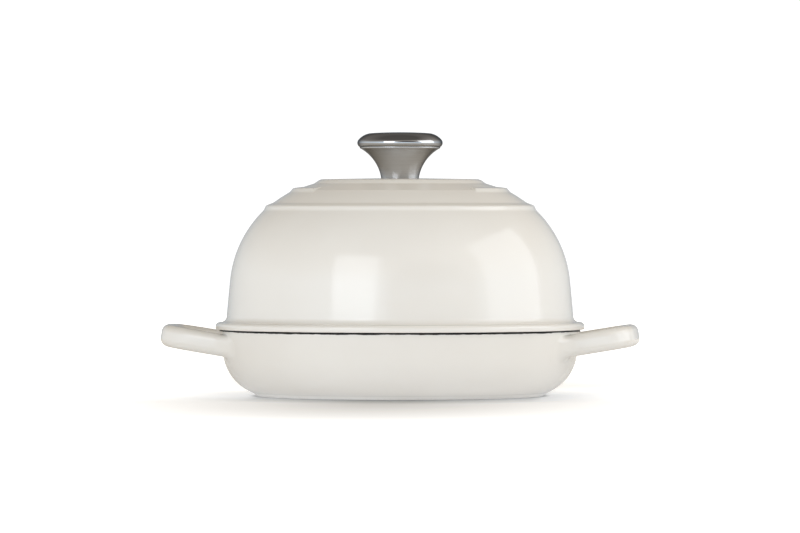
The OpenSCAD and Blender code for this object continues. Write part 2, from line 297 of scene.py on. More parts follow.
# Pan outline, from the middle of its underside round the rim to the middle of its floor
FLOOR_Z = FOOT_H + PAN_FLOOR
RIM_INNER_R = PAN_R - PAN_WALL / cos(PAN_DRAFT)


def corner_x(radius):
    """X of the centre of an arc that touches the pan's outer wall."""
    return PAN_R - (radius + (PAN_H - PAN_CORNER_R) * sin(PAN_DRAFT)) / cos(PAN_DRAFT)


def wall_r(z):
    """Radius of the pan's outer surface at a height, from its corner to its rim."""
    line = PAN_R - (PAN_H - z) * tan(PAN_DRAFT)
    drop = np.minimum(z - PAN_CORNER_R, 0)
    bend = corner_x(PAN_CORNER_R) + np.sqrt(PAN_CORNER_R**2 - drop**2)
    return np.where(z > PAN_CORNER_R * (1 - sin(PAN_DRAFT)), line, bend)


def pan_outline():
    """Outline of the pan, and the index of the last point of its outer wall."""
    foot_inner_r = FOOT_R - FOOT_FACE_W
    outer_centre = np.array([corner_x(PAN_CORNER_R), PAN_CORNER_R])
    inner_r = PAN_CORNER_R - FLOOR_Z
    inner_centre = np.array([corner_x(inner_r + PAN_WALL), PAN_CORNER_R])
    # Where the foot's leaning side meets the corner, and the angle where the corner's arc starts
    highest, trials = 1.5 * FOOT_H, 400
    rise = np.linspace(0, highest, trials)
    side_x = FOOT_R + rise * tan(FOOT_LEAN)
    arc_z = PAN_CORNER_R - np.sqrt(PAN_CORNER_R**2 - (side_x - outer_centre[0]) ** 2)
    meet = int(np.argmax(rise > arc_z))
    join = np.array([side_x[meet], rise[meet]])
    past_join = 3
    start = math.degrees(math.atan2(*(join - outer_centre)[::-1])) + past_join
    ridges = []
    for i in reversed(range(RIDGE_COUNT)):
        r = RIDGE_FIRST_R + i * RIDGE_PITCH
        ridges += [
            (r + RIDGE_W / 2, FLOOR_Z, RIDGE_JOIN_R),
            (r + RIDGE_W / 4, FLOOR_Z + RIDGE_H, RIDGE_EDGE_R),
            (r - RIDGE_W / 4, FLOOR_Z + RIDGE_H, RIDGE_EDGE_R),
            (r - RIDGE_W / 2, FLOOR_Z, RIDGE_JOIN_R),
        ]
    outer = rounded(
        [
            (0, FOOT_H),
            (foot_inner_r - FOOT_H * tan(FOOT_LEAN), FOOT_H, FOOT_INNER_JOIN_R),
            (foot_inner_r, 0, FOOT_EDGE_R),
            (FOOT_R, 0, FOOT_EDGE_R),
            (*join, FOOT_JOIN_R),
            *arc(outer_centre, PAN_CORNER_R, start, -PAN_DRAFT, COARSE),
            (PAN_R, PAN_H, RIM_EDGE_R),
            (RIM_INNER_R, PAN_H, RIM_EDGE_R),
            *arc(inner_centre, inner_r, -PAN_DRAFT, -90, COARSE),
            *ridges,
            (0, FLOOR_Z),
        ],
        False,
    )
    points = dense(outer, PAN_STEP, False)
    top = int(np.argmax(points[:, 1] > PAN_H - RIM_EDGE_R))
    longest_chord = 0.3
    while np.linalg.norm(points[top] - points[top - 1]) < longest_chord:
        top -= 1
    return points, top


# Loop handles: rings of points round the bar, from the middle of a loop to a window in the wall
RING_QUARTER = 21
RING = 4 * RING_QUARTER
WINDOW_ROWS = 22
WINDOW_COLUMNS = RING // 2 - WINDOW_ROWS
BOW_STATIONS = 9
CORNER_STATIONS = 21
STRAIGHT_SHARES = (0.35, 0.7)
ROOT_STEPS = 9
ROOT_BULGE = math.sqrt(0.5)
WALL_SHARES = (0.25, 0.5, 0.75, 1)


def loop_stations():
    """Points of half a loop with their outward angles, from its middle to the end of its corner,
    in the handle's own plane, and the heading from there to the pan."""
    half_w, half_h = BAR_W / 2 - BAR_EDGE_R, BAR_H / 2 - BAR_EDGE_R
    lead = half_w * cos(HANDLE_RISE) + half_h * sin(HANDLE_RISE) + BAR_EDGE_R
    tip = (HANDLE_REACH - lead) / cos(HANDLE_RISE)
    bow_r = BOW_R - BAR_W / 2
    corner_r = LOOP_CORNER_R - BAR_W / 2
    side_angle = 90 - LOOP_SPLAY
    bow_centre = np.array([tip - bow_r, 0])
    corner_centre = bow_centre + (bow_r - corner_r) * unit(BOW_HALF_ANGLE)
    bow_angles = np.linspace(0, BOW_HALF_ANGLE, BOW_STATIONS)
    corner_angles = np.linspace(BOW_HALF_ANGLE, side_angle, CORNER_STATIONS)[1:]
    bow = [(bow_centre + bow_r * unit(a), a) for a in bow_angles]
    corner = [(corner_centre + corner_r * unit(a), a) for a in corner_angles]
    return bow + corner, unit(side_angle + 90)


def section():
    """The bar's section: offsets (outward, up) and the unit normal at each point."""
    x, z = BAR_W / 2 - BAR_EDGE_R, BAR_H / 2 - BAR_EDGE_R
    offsets, normals = [], []
    for quarter, (sx, sz) in enumerate([(1, 1), (-1, 1), (-1, -1), (1, -1)]):
        for a in np.linspace(90 * quarter, 90 * quarter + 90, RING_QUARTER):
            offsets.append(np.array([sx * x, sz * z]) + BAR_EDGE_R * unit(a))
            normals.append(unit(a))
    return np.array(offsets), np.array(normals)


def from_handle_plane(u, v, w):
    """Points (u, v, w) of the handle's own frame, in the object's frame."""
    bar_z = PAN_H - HANDLE_DROP - BAR_H / 2 / cos(HANDLE_RISE)
    x = PAN_R + u * cos(HANDLE_RISE) - w * sin(HANDLE_RISE)
    z = bar_z + u * sin(HANDLE_RISE) + w * cos(HANDLE_RISE)
    return np.stack([x, v + 0 * x, z], axis=-1)


def half_handle(points, top):
    """Rings of points from the middle of a handle to the edge of its window in the pan's wall,
    with the window's rows and columns."""
    stations, heading = loop_stations()
    offsets, normals = section()
    rings = []
    for place, angle in stations:
        flat = place + offsets[:, :1] * unit(angle)
        rings.append(from_handle_plane(flat[:, 0], flat[:, 1], offsets[:, 1]))
    along = from_handle_plane(*heading, 0) - from_handle_plane(0, 0, 0)
    # How far each line of the bar goes before it touches the wall, by halving
    farthest, halvings = 60.0, 40
    near, far = np.zeros(RING), np.full(RING, farthest)
    for _ in range(halvings):
        middle = (near + far) / 2
        p = rings[-1] + middle[:, None] * along
        inside = np.hypot(p[:, 0], p[:, 1]) < wall_r(p[:, 2])
        near, far = np.where(inside, near, middle), np.where(inside, middle, far)
    touch = rings[-1] + near[:, None] * along
    # The root's rounding leaves the bar at start and meets the wall at foot
    sideways = np.where(normals[:, 0] > 0, ROOT_OUTER_R, ROOT_INNER_R) * normals[:, 0]
    upward = np.where(normals[:, 1] > 0, ROOT_TOP_R, ROOT_UNDER_R) * normals[:, 1]
    reach = np.hypot(sideways, upward)[:, None]
    bearing = np.arctan2(touch[:, 1], touch[:, 0]) + sideways / PAN_R
    height = touch[:, 2] + upward
    foot = on_wall(bearing, height)
    normal = wall_normal(bearing, height)
    start = touch - reach * along
    ahead = ((foot - start) * normal).sum(axis=1) / (normal @ along)
    control = start + ahead[:, None] * along
    for t in STRAIGHT_SHARES:
        rings.append(rings[len(stations) - 1] * (1 - t) + start * t)
    rings.append(start)
    for s in np.linspace(0, 1, ROOT_STEPS + 1)[1:]:
        a, b, c = (1 - s) ** 2, 2 * s * (1 - s) * ROOT_BULGE, s**2
        rings.append((a * start + b * control + c * foot) / (a + b + c))
    rings[-1] = foot
    first_column = round(math.degrees(bearing.mean()) - WINDOW_COLUMNS / 2)
    rows = top - WINDOW_ROWS, top
    columns = first_column, first_column + WINDOW_COLUMNS
    edge = window_edge(rows, columns)
    edge_bearing = np.radians([c for _, c in edge])
    edge_height = np.array([points[r][1] for r, _ in edge])
    for s in WALL_SHARES:
        ring_bearing = bearing + (edge_bearing - bearing) * s
        rings.append(on_wall(ring_bearing, height + (edge_height - height) * s))
    return rings, rows, columns


def on_wall(bearing, height):
    """Points on the pan's outer surface."""
    radius = wall_r(height)
    return np.stack([radius * np.cos(bearing), radius * np.sin(bearing), height], axis=-1)


def wall_normal(bearing, height):
    """Unit normals of the pan's outer surface."""
    rise = np.maximum((height - PAN_CORNER_R) / PAN_CORNER_R, -1)
    rise = np.where(height > PAN_CORNER_R * (1 - sin(PAN_DRAFT)), -sin(PAN_DRAFT), rise)
    level = np.sqrt(1 - rise**2)
    return np.stack([level * np.cos(bearing), level * np.sin(bearing), rise], axis=-1)


def window_edge(rows, columns):
    """The window's border as (row, column), anticlockwise from the middle of its right side."""
    low, high = rows
    left, right = columns
    middle = (low + high) // 2
    return (
        [(r, right) for r in range(middle, high)]
        + [(high, c) for c in range(right, left, -1)]
        + [(r, left) for r in range(high, low, -1)]
        + [(low, c) for c in range(left, right)]
        + [(r, right) for r in range(low, middle)]
    )


def build_pan():
    outline, top = pan_outline()
    rings, rows, columns = half_handle(outline, top)
    skip = set()
    for column in range(*columns):
        for mirrored in (column, -column - 1, 180 - column - 1, 180 + column):
            skip |= {(row, mirrored % 360) for row in range(*rows)}
    points, faces = turned(outline, np.arange(360), False, skip=skip)
    run = run_lengths(outline)
    from_line = run - (run[top] - PAN_COAT_LINE)
    coats = np.repeat(np.clip(from_line, -COAT_LIMIT, COAT_LIMIT), 360).tolist()
    for mirror in ((1, 1), (1, -1), (-1, 1), (-1, -1)):
        base = len(points)
        for ring in rings:
            points += (ring * (*mirror, 1)).tolist()
        coats += [-COAT_LIMIT] * (RING * len(rings))
        for i in range(len(rings) - 1):
            for j in range(RING):
                k = (j + 1) % RING
                quad = (i * RING + j, i * RING + k, (i + 1) * RING + k, (i + 1) * RING + j)
                faces.append([base + q for q in quad])
    pan = make_mesh("pan_casting", points, faces, "pan", coats)
    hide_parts("base_pan")
    return pan


# Lid outline, from the inside of its lip over the dome to the screw hole and back
def lid_wall_r(z):
    """Radius of the lid's outer wall at a height."""
    return RIM_INNER_R - (z - SEAT_Z) * tan(LID_DRAFT)


def inward(place, width, slope):
    """Point reached from a place by going inward by width up a slope."""
    return place + width * np.array([-1, tan(slope)])


dome_start_z = SEAT_Z + LID_WALL_H
dome_centre = np.array([lid_wall_r(dome_start_z), dome_start_z]) - DOME_R * unit(LID_DRAFT)
step_foot = dome_centre + DOME_R * unit(DOME_END)
step_top = step_foot + STEP_H * np.array([-tan(STEP_LEAN), 1])
band_foot = inward(step_top, OUTER_RING_W, OUTER_RING_SLOPE)
band_middle = inward(band_foot, BAND_W / 2, BAND_SLOPE)
band_top = inward(band_middle, BAND_W / 2, BAND_SLOPE - BAND_FLATTENING)
disc_foot = inward(band_top, APRON_W, APRON_SLOPE)
disc_edge = disc_foot + DISC_H * np.array([-1 / tan(DISC_FLANK), 1])
lid_top_z = disc_edge[1] + DISC_CROWN
lid_under_z = disc_edge[1] - LID_TOP_T


def lid_outline():
    """Closed outline of the lid, anticlockwise from the inside of its lip."""
    lip_r = RIM_INNER_R - LIP_GAP
    lip_z = SEAT_Z - LIP_DEPTH
    flange_z = SEAT_Z + FLANGE_T
    foot_z = flange_z + FLANGE_TOP_RISE
    corners = [
        (lid_wall_r(lip_z) - LID_WALL / cos(LID_DRAFT), lip_z, LIP_EDGE_R),
        (lip_r, lip_z, LIP_EDGE_R),
        (lip_r, SEAT_Z, SEAT_ROOT_R),
        (FLANGE_R, SEAT_Z, SEAT_EDGE_R),
        (FLANGE_R, flange_z, FLANGE_EDGE_R),
        (lid_wall_r(foot_z), foot_z, FLANGE_ROOT_R),
        *arc(dome_centre, DOME_R, LID_DRAFT, DOME_END - STEP_FOOT_TURN),
        (*step_foot, STEP_FOOT_R),
        (*step_top, STEP_TOP_R),
        (*band_foot, BAND_FOOT_R),
        (*band_middle, BAND_CROWN_R),
        (*band_top, SLOPE_EDGE_R),
        (*disc_foot, SLOPE_EDGE_R),
        (*disc_edge, DISC_EDGE_R),
        (NECK_R + KNOB_SEAT_W, lid_top_z, DISC_TOP_R),
        (SCREW_HOLE_R, lid_top_z, SCREW_HOLE_EDGE_R),
        (SCREW_HOLE_R, lid_under_z, SCREW_HOLE_EDGE_R),
        (disc_edge[0] - UNDER_DISC_IN, lid_under_z, UNDER_DISC_R),
        (band_top[0] - UNDER_BAND_IN, band_top[1] - LID_TOP_T, UNDER_BAND_R),
        *arc(dome_centre, DOME_R - LID_WALL, DOME_END + UNDER_BAND_TURN, LID_DRAFT),
    ]
    return dense(rounded(corners, True), LID_STEP, True)


# Middle ring: how far it may reach inward and outward of its outer edge, its softened creases, and
# the finer angles of the mesh on both sides of each of its ends
RING_REACH_IN = 11
RING_REACH_OUT = 5
RING_CREST_SOFT = 1.2
RING_INNER_SOFT = 0.5
RING_FOOT_SOFT = 0.7
RING_END_SPAN = 3
RING_END_STEP = 0.25
# Between the lid's upper side and its inner side, wherever the ring may reach
RING_FLOOR_Z = lid_under_z - 6.5


def near_ring(place):
    """Whether a place of the outline is on the upper side, where the middle ring may rise."""
    x, z = place
    return band_top[0] - RING_REACH_IN < x < band_top[0] + RING_REACH_OUT and z > RING_FLOOR_Z


def refine(outline, step):
    """The outline with its stretches near the middle ring divided more finely."""
    result = []
    for i, p in enumerate(outline):
        q = outline[(i + 1) % len(outline)]
        result.append(p)
        if near_ring(p) and q[0] < p[0]:
            count = max(1, math.ceil(np.linalg.norm(q - p) / step))
            result += [p + (q - p) * t for t in np.arange(1, count) / count]
    return np.array(result)


def soft_min(a, b, width):
    """Smaller of two heights, with the crease between them rounded over a width."""
    blend = np.maximum(width - np.abs(a - b), 0) / width
    return np.minimum(a, b) - blend**3 * width / 6


def ring_heights(x, z, angles):
    """Heights of the lid's upper side at each angle, with the middle ring, open at the front."""
    around = np.zeros(len(angles))
    outer_z = band_top[1] + MIDDLE_RING_H
    inner_x = band_top[0] - MIDDLE_RING_W
    inner_z = outer_z + MIDDLE_RING_W * tan(MIDDLE_RING_SLOPE)
    crest = around + outer_z + (band_top[0] - x) * tan(MIDDLE_RING_SLOPE)
    outer = around + outer_z - (x - band_top[0]) * tan(MIDDLE_RING_FLANK)
    inner = around + inner_z + (x - inner_x) * tan(MIDDLE_RING_INNER_FLANK)
    from_front = np.abs((angles + 90 + 180) % 360 - 180)
    farthest = 40
    past_end = np.radians(np.clip(from_front - MIDDLE_RING_GAP / 2, -farthest, farthest))
    end = band_top[1] + x * np.sin(past_end) * tan(MIDDLE_RING_FLANK)
    rise = soft_min(soft_min(crest, outer, RING_CREST_SOFT), end, RING_CREST_SOFT)
    rise = soft_min(rise, inner, RING_INNER_SOFT)
    return -soft_min(around - z, -rise, RING_FOOT_SOFT)


def build_lid():
    outline = refine(lid_outline(), RING_STEP)
    angles = set(range(360))
    near_end = np.arange(-RING_END_SPAN, RING_END_SPAN + RING_END_STEP / 2, RING_END_STEP)
    for end in (-90 - MIDDLE_RING_GAP / 2, -90 + MIDDLE_RING_GAP / 2):
        angles |= {round(end + d, 2) % 360 for d in near_end}
    angles = np.array(sorted(angles))
    lifted = {i: ring_heights(*p, angles) for i, p in enumerate(outline) if near_ring(p)}
    points, faces = turned(outline, angles, True, lifted)
    run = run_lengths(outline)
    edge = run[int(np.argmax(outline[:, 0] > FLANGE_R - LID_COAT_LINE))]
    hole = run[int(np.argmin(outline[:, 0]))]
    coats = np.clip(np.maximum(edge - run, run - hole), -COAT_LIMIT, COAT_LIMIT)
    coats = np.repeat(coats, len(angles))
    lid = make_mesh("lid_casting", points, faces, "lid", coats)
    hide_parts("lid_shell")
    return lid


# Knob
stem_top_z = lid_top_z + STEM_H
stem_top_r = KNOB_R - CAP_OVER - PARTING_IN
KNOB_ANGLES = np.arange(0, 360, 2)


def build_stem():
    centre = np.array([NECK_R, lid_top_z]) + FLARE_R * unit(-NECK_SLOPE)
    floor_z = lid_top_z + STEM_FLOOR
    inner = FLARE_R + STEM_WALL
    top_angle = 180 - math.degrees(math.asin((stem_top_z - centre[1]) / inner))
    base_angle = 180 - math.degrees(math.asin((floor_z - centre[1]) / inner))
    side_angle = 180 - math.degrees(math.acos((centre[0] - stem_top_r) / FLARE_R))
    outline = rounded(
        [
            (SCREW_HOLE_R, lid_top_z, STEM_EDGE_R),
            (NECK_R, lid_top_z, NECK_EDGE_R),
            *arc(centre, FLARE_R, 180 - NECK_SLOPE - NECK_SHORT, side_angle),
            (stem_top_r, stem_top_z, STEM_EDGE_R),
            *arc(centre, inner, top_angle, base_angle),
            (SCREW_HOLE_R, floor_z, STEM_EDGE_R),
        ],
        True,
    )
    points, faces = turned(dense(outline, KNOB_STEP, True), KNOB_ANGLES, True)
    stem = make_mesh("knob_stem_turned", points, faces, "lid")
    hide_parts("knob_stem")
    return stem


def build_cap():
    edge = np.array([KNOB_R - CAP_EDGE_R, stem_top_z - CAP_EDGE_R * sin(CAP_START)])
    shoulder = edge - (CAP_SHOULDER_R - CAP_EDGE_R) * unit(CAP_TURN)
    crown_r = (shoulder[0] + CAP_SHOULDER_R * cos(CAP_END)) / cos(CAP_END)
    crown = np.array([0, shoulder[1] + (CAP_SHOULDER_R - crown_r) * sin(CAP_END)])
    outline = [
        np.array([stem_top_r - CAP_LAP, stem_top_z]),
        *arc(edge, CAP_EDGE_R, CAP_START, CAP_TURN),
        *arc(shoulder, CAP_SHOULDER_R, CAP_TURN, CAP_END)[1:],
        *arc(crown, crown_r, CAP_END, 90)[1:-1],
        np.array([0, crown[1] + crown_r]),
        np.array([0, crown[1] + crown_r - CAP_WALL]),
        *arc(crown, crown_r - CAP_WALL, 90, CAP_END)[1:],
        *arc(shoulder, CAP_SHOULDER_R - CAP_WALL, CAP_END, CAP_TURN)[1:],
        *arc(edge, CAP_EDGE_R - CAP_WALL, CAP_TURN, 0)[1:],
    ]
    points, faces = turned(dense(outline, KNOB_STEP, True), KNOB_ANGLES, True)
    faces = [f for f in faces if len(set(f)) > 2]
    cap = make_mesh("knob_cap_spun", points, faces, "lid")
    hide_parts("knob_cap")
    return cap


# Materials
class Graph:
    """A node tree, with short ways to add the nodes that the materials and the world share.
    Where a method takes a value, it may be a number, a colour or another node's output."""

    def __init__(self, tree):
        self.nodes, self.links = tree.nodes, tree.links

    def node(self, kind, **settings):
        node = self.nodes.new("ShaderNode" + kind)
        for name, setting in settings.items():
            setattr(node, name, setting)
        return node

    def feed(self, socket, value):
        """Set a socket to a number, a colour or a vector, or link an output to it."""
        if isinstance(value, bpy.types.NodeSocket):
            self.links.new(value, socket)
        elif socket.type == "RGBA":
            socket.default_value = (*value, 1)
        else:
            socket.default_value = value

    def math(self, operation, *values):
        node = self.node("Math", operation=operation)
        for socket, value in zip(node.inputs, values):
            self.feed(socket, value)
        return node.outputs[0]

    def ramp(self, value, from_low, from_high, to_low, to_high):
        """Value mapped from one range to another, and kept in it."""
        node = self.node("MapRange")
        for socket, number in zip(node.inputs, (value, from_low, from_high, to_low, to_high)):
            self.feed(socket, number)
        return node.outputs["Result"]

    def mix_colours(self, factor, first, second):
        node = self.node("Mix", data_type="RGBA")
        for i, value in ((0, factor), (6, first), (7, second)):
            self.feed(node.inputs[i], value)
        return node.outputs[2]

    def mix_values(self, factor, first, second):
        node = self.node("Mix")
        for i, value in ((0, factor), (2, first), (3, second)):
            self.feed(node.inputs[i], value)
        return node.outputs[0]

    def noise(self, scale, detail=2.0, stretch=None):
        """Noise in object space, with a scale in features per metre, stretched along the axes."""
        place = self.node("TexCoord").outputs["Object"]
        if stretch is not None:
            mapping = self.node("Mapping")
            self.feed(mapping.inputs["Scale"], stretch)
            self.feed(mapping.inputs["Vector"], place)
            place = mapping.outputs["Vector"]
        texture = self.node("TexNoise")
        for name, value in (("Vector", place), ("Scale", scale), ("Detail", detail)):
            self.feed(texture.inputs[name], value)
        return texture.outputs["Fac"]

    def bump(self, height, distance, below=None):
        """Bump of a height with a distance in millimetres, over another bump if there is one."""
        node = self.node("Bump")
        self.feed(node.inputs["Strength"], 1.0)
        self.feed(node.inputs["Distance"], distance * MM)
        self.feed(node.inputs["Height"], height)
        if below is not None:
            self.feed(node.inputs["Normal"], below)
        return node.outputs["Normal"]

    def distance_from_middle(self, scale, shift=(0, 0, 0)):
        """Distance of a point from the origin, with the point first scaled and then shifted."""
        moved = self.node("VectorMath", operation="MULTIPLY_ADD")
        place = self.node("TexCoord").outputs["Object"]
        for socket, value in zip(moved.inputs, (place, scale, shift)):
            self.feed(socket, value)
        length = self.node("VectorMath", operation="LENGTH")
        self.feed(length.inputs[0], moved.outputs["Vector"])
        return length.outputs["Value"]

    def ray_is(self, kind):
        """1 for rays of a kind, such as Camera or Diffuse, and 0 for others."""
        return self.node("LightPath").outputs[f"Is {kind} Ray"]


def new_material(name):
    """A material, its graph and its Principled shader."""
    material = bpy.data.materials.new(name)
    material.use_nodes = True
    return material, Graph(material.node_tree), material.node_tree.nodes["Principled BSDF"]


# Noise values are taken to lie in this range
NOISE_RANGE = (0.3, 0.7)

# Enamel. Scales are in features per metre, depths and the edge of the black in millimetres.
WARM_WHITE = (0.797, 0.782, 0.75)
WARM_SHADE = (0.782, 0.765, 0.732)
BLACK_ENAMEL = (0.012, 0.011, 0.010)
BLACK_ROUGHNESS = 0.55
WHITE_ROUGHNESS = (0.10, 0.16)
ENAMEL_IOR = 1.5
CLOUD_SCALE, CLOUD_RANGE = 18, (0.35, 0.65)
GLOSS_SCALE = 60
SWELL_SCALE, SWELL_DEPTH = 28, 0.25
GRAIN_SCALE, GRAIN_DEPTH = 900, 0.008
EDGE_SCALE, EDGE_WANDER, EDGE_SOFTNESS = 160, 0.22, 0.12

# Steels: colour, lowest and highest roughness, and depth of the turned lines in millimetres
STEM_STEEL = (0.58, 0.577, 0.575), 0.13, 0.17, 0.004
CAP_STEEL = (0.442, 0.438, 0.433), 0.06, 0.10, 0.0006
FIXING_STEEL = (0.58, 0.57, 0.56), 0.25, 0.35, 0.003
LINES_STRETCH = (40, 40, 5200)
LINES_DETAIL = 3.0
LINES_SHADE = 0.88
SATIN_SCALE = 90
EDGE_TINT = (0.25, 0.25, 0.25)


def enamel(name):
    """Glossy warm-white enamel that turns to matt black enamel where coat is above zero."""
    material, graph, shader = new_material(name)
    coat = graph.node("Attribute", attribute_name="coat").outputs["Fac"]
    wander = graph.ramp(graph.noise(EDGE_SCALE), *NOISE_RANGE, -EDGE_WANDER, EDGE_WANDER)
    edge = graph.math("ADD", coat, wander)
    black = graph.ramp(edge, -EDGE_SOFTNESS, EDGE_SOFTNESS, 0, 1)
    cloud = graph.ramp(graph.noise(CLOUD_SCALE), *CLOUD_RANGE, 0, 1)
    white = graph.mix_colours(cloud, WARM_WHITE, WARM_SHADE)
    gloss = graph.ramp(graph.noise(GLOSS_SCALE), *NOISE_RANGE, *WHITE_ROUGHNESS)
    swell = graph.bump(graph.noise(SWELL_SCALE, detail=1.0), SWELL_DEPTH)
    grain = graph.bump(graph.noise(GRAIN_SCALE, detail=1.0), GRAIN_DEPTH, below=swell)
    graph.feed(shader.inputs["Base Color"], graph.mix_colours(black, white, BLACK_ENAMEL))
    graph.feed(shader.inputs["Roughness"], graph.mix_values(black, gloss, BLACK_ROUGHNESS))
    graph.feed(shader.inputs["IOR"], ENAMEL_IOR)
    graph.feed(shader.inputs["Normal"], grain)
    return material


def steel(name, colour, rough_low, rough_high, line_depth):
    """Turned steel, with fine lines round the Z axis and darker reflections at grazing angles."""
    material, graph, shader = new_material(name)
    lines = graph.noise(1.0, LINES_DETAIL, LINES_STRETCH)
    tone = graph.ramp(lines, *NOISE_RANGE, 0, 1)
    shade = tuple(LINES_SHADE * c for c in colour)
    roughness = graph.ramp(graph.noise(SATIN_SCALE), *NOISE_RANGE, rough_low, rough_high)
    graph.feed(shader.inputs["Base Color"], graph.mix_colours(tone, colour, shade))
    graph.feed(shader.inputs["Roughness"], roughness)
    graph.feed(shader.inputs["Metallic"], 1)
    graph.feed(shader.inputs["Specular Tint"], EDGE_TINT)
    graph.feed(shader.inputs["Normal"], graph.bump(lines, line_depth))
    return material


def paint(piece, material):
    piece.data.materials.clear()
    piece.data.materials.append(material)


def dress():
    """Build the pieces and give each of them, and each CAD node that is kept, its material."""
    paint(build_pan(), enamel("pan_enamel"))
    paint(build_lid(), enamel("lid_enamel"))
    paint(build_stem(), steel("stem_steel", *STEM_STEEL))
    paint(build_cap(), steel("cap_steel", *CAP_STEEL))
    fixings = steel("fixing_steel", *FIXING_STEEL)
    for node in ("knob_insert", "lid_screw", "screw_washer"):
        paint(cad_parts[node], fixings)


# Studio, in metres. Bearings are to the right of straight ahead, as the camera sees the object.
CAMERA_BEARING = 4
CAMERA_DISTANCE = 4.88
CAMERA_HEIGHT = 0.1438
CAMERA_REACH = 50
AIM_HEIGHT = 0.0913
# Lens and sensor in millimetres
CAMERA_LENS = 311
CAMERA_SENSOR = 36
LIGHT_AIM = (0, 0, 0.08)
BOX_COLOUR = (0.95, 1.0, 1.07)

# Softboxes: bearing, elevation, distance, width, height and radiance
SOFTBOXES = {
    "left_box": (-30, 20, 1.2, 0.60, 0.60, 2.46),
    "right_box": (82, 23, 1.3, 1.12, 1.0, 1.55),
}


def toward(bearing, elevation, distance):
    """Place seen from LIGHT_AIM at a bearing, an elevation and a distance."""
    angle = CAMERA_BEARING + bearing
    flat = distance * cos(elevation)
    offset = Vector((flat * sin(angle), -flat * cos(angle), distance * sin(elevation)))
    return Vector(LIGHT_AIM) + offset


def place_and_aim(name, data, place, target):
    """Object at a place, turned to a target."""
    thing = bpy.data.objects.new(name, data)
    thing.location = place
    thing.rotation_euler = (Vector(target) - Vector(place)).to_track_quat("-Z", "Y").to_euler()
    bpy.context.scene.collection.objects.link(thing)
    return thing


def add_camera():
    data = bpy.data.cameras.new("camera")
    data.lens = CAMERA_LENS
    data.sensor_width = CAMERA_SENSOR
    data.clip_end = CAMERA_REACH
    flat_x, flat_y = CAMERA_DISTANCE * sin(CAMERA_BEARING), -CAMERA_DISTANCE * cos(CAMERA_BEARING)
    place = (flat_x, flat_y, CAMERA_HEIGHT)
    bpy.context.scene.camera = place_and_aim("camera", data, place, (0, 0, AIM_HEIGHT))


def add_lights():
    for name, (bearing, elevation, distance, width, height, radiance) in SOFTBOXES.items():
        data = bpy.data.lights.new(name, "AREA")
        data.shape = "RECTANGLE"
        data.size, data.size_y = width, height
        data.energy = radiance * math.pi * width * height
        data.color = BOX_COLOUR
        place_and_aim(name, data, toward(bearing, elevation, distance), LIGHT_AIM)


# Floor. A ramp holds two distances from the object's axis and the values before and after them.
FLOOR_R = 3.2
# Colour of the painted shadow by the foot ring, then the floor's own white
FLOOR_PAINTED_SHADOW = (0.107, 0.112, 0.118)
FLOOR_WHITE = (0.775, 0.80, 0.84)
FLOOR_ROUGHNESS = 0.9
# Painted shadow by the foot ring, in the floor's colour as the camera sees it: a wide rise, a
# little to one side, and a steep one at the ring
CONTACT_SHADOW_SHIFT = (-0.012, 0, 0)
CONTACT_SHADOW_RAMP = (0.10, 0.19, 0.0, 0.71)
RING_SHADOW_RAMP = (0.099, 0.107, 0.0, 1.0)
RING_SHADOW_SHARE = 0.29
# Painted light that the camera alone sees, lower round the object so that it leaves a painted soft
# shadow there: in long ovals, far away, and beside the foot ring
GLOW_SCALE, GLOW_SHIFT = (2.9, 1, 0), (0, 0.12, 0)
GLOW_RAMP = (0.05, 0.56, 0.0, 0.62)
FAR_GLOW_RAMP = (0.45, 1.1, 0.0, 0.45)
BESIDE_RAMP = (0.096, 0.104, 0.0, 0.235)
LEVEL_SHIFT = (0, -0.06, 0)
LEVEL_RAMP = (0.07, 0.20, 1.0, 0.0)
# Share of the painted light taken away at the foot ring, which deepens the painted shadow there
RING_SHADOW_GLOW_LOSS = 0.7
# Light that the object gets
BOUNCE_RAMP = (0.25, 0.45, 0.175, 0.345)
BOUNCE_WARMTH = (1.14, 1.0, 0.84)


